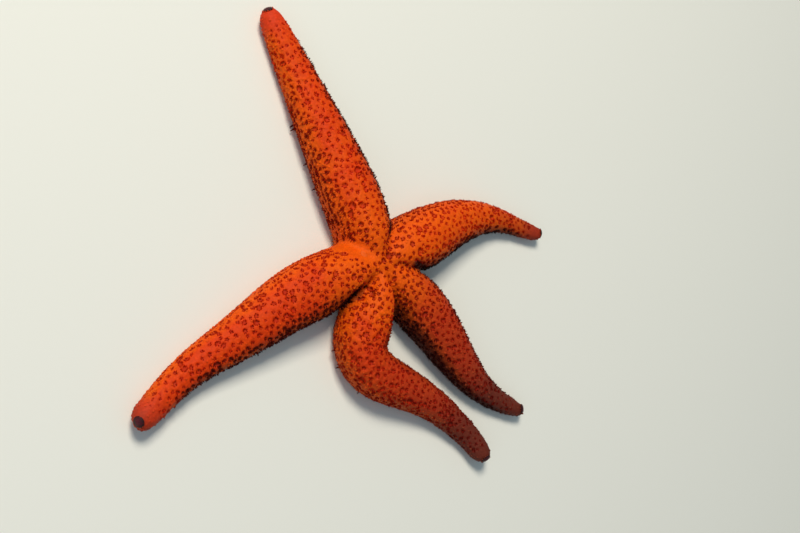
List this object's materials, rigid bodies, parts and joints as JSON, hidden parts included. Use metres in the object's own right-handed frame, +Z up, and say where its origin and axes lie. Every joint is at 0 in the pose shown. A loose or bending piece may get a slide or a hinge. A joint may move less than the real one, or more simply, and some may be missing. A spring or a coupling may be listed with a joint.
{
  "type": "starfish",
  "caption": "Still, life-size red sea star resting on a flat floor: long round tapering arms, one bent at an elbow, meeting in a small disc.",
  "frame": {"origin": "on the floor, under the middle of the whole star's box", "axes": "+Z up off the floor; +X and +Y along the floor, +X along the star's longest reach"},
  "size_m": [0.1731, 0.161, 0.0189],
  "materials": {
    "skin": "wet, soft, orange-red skin with dark pits",
    "eyespot": "smooth, dark maroon cushion",
    "plate": "chalky, finely grooved",
    "membrane": "thin, wet membrane"
  },
  "bodies": {
    "root": {"disc": "skin", "arm_1_base": "skin", "arm_1_middle": "skin", "arm_1_tip": "skin", "arm_2_base": "skin", "arm_2_middle": "skin", "arm_2_tip": "skin", "arm_3_base": "skin", "arm_3_middle": "skin", "arm_3_tip": "skin", "arm_4_base": "skin", "arm_4_middle": "skin", "arm_4_tip": "skin", "arm_5_base": "skin", "arm_5_middle": "skin", "arm_5_tip": "skin", "eyespot_1": "eyespot", "eyespot_2": "eyespot", "eyespot_3": "eyespot", "eyespot_4": "eyespot", "eyespot_5": "eyespot", "madreporite": "plate", "mouth": "membrane"}
  },
  "joints": []
}
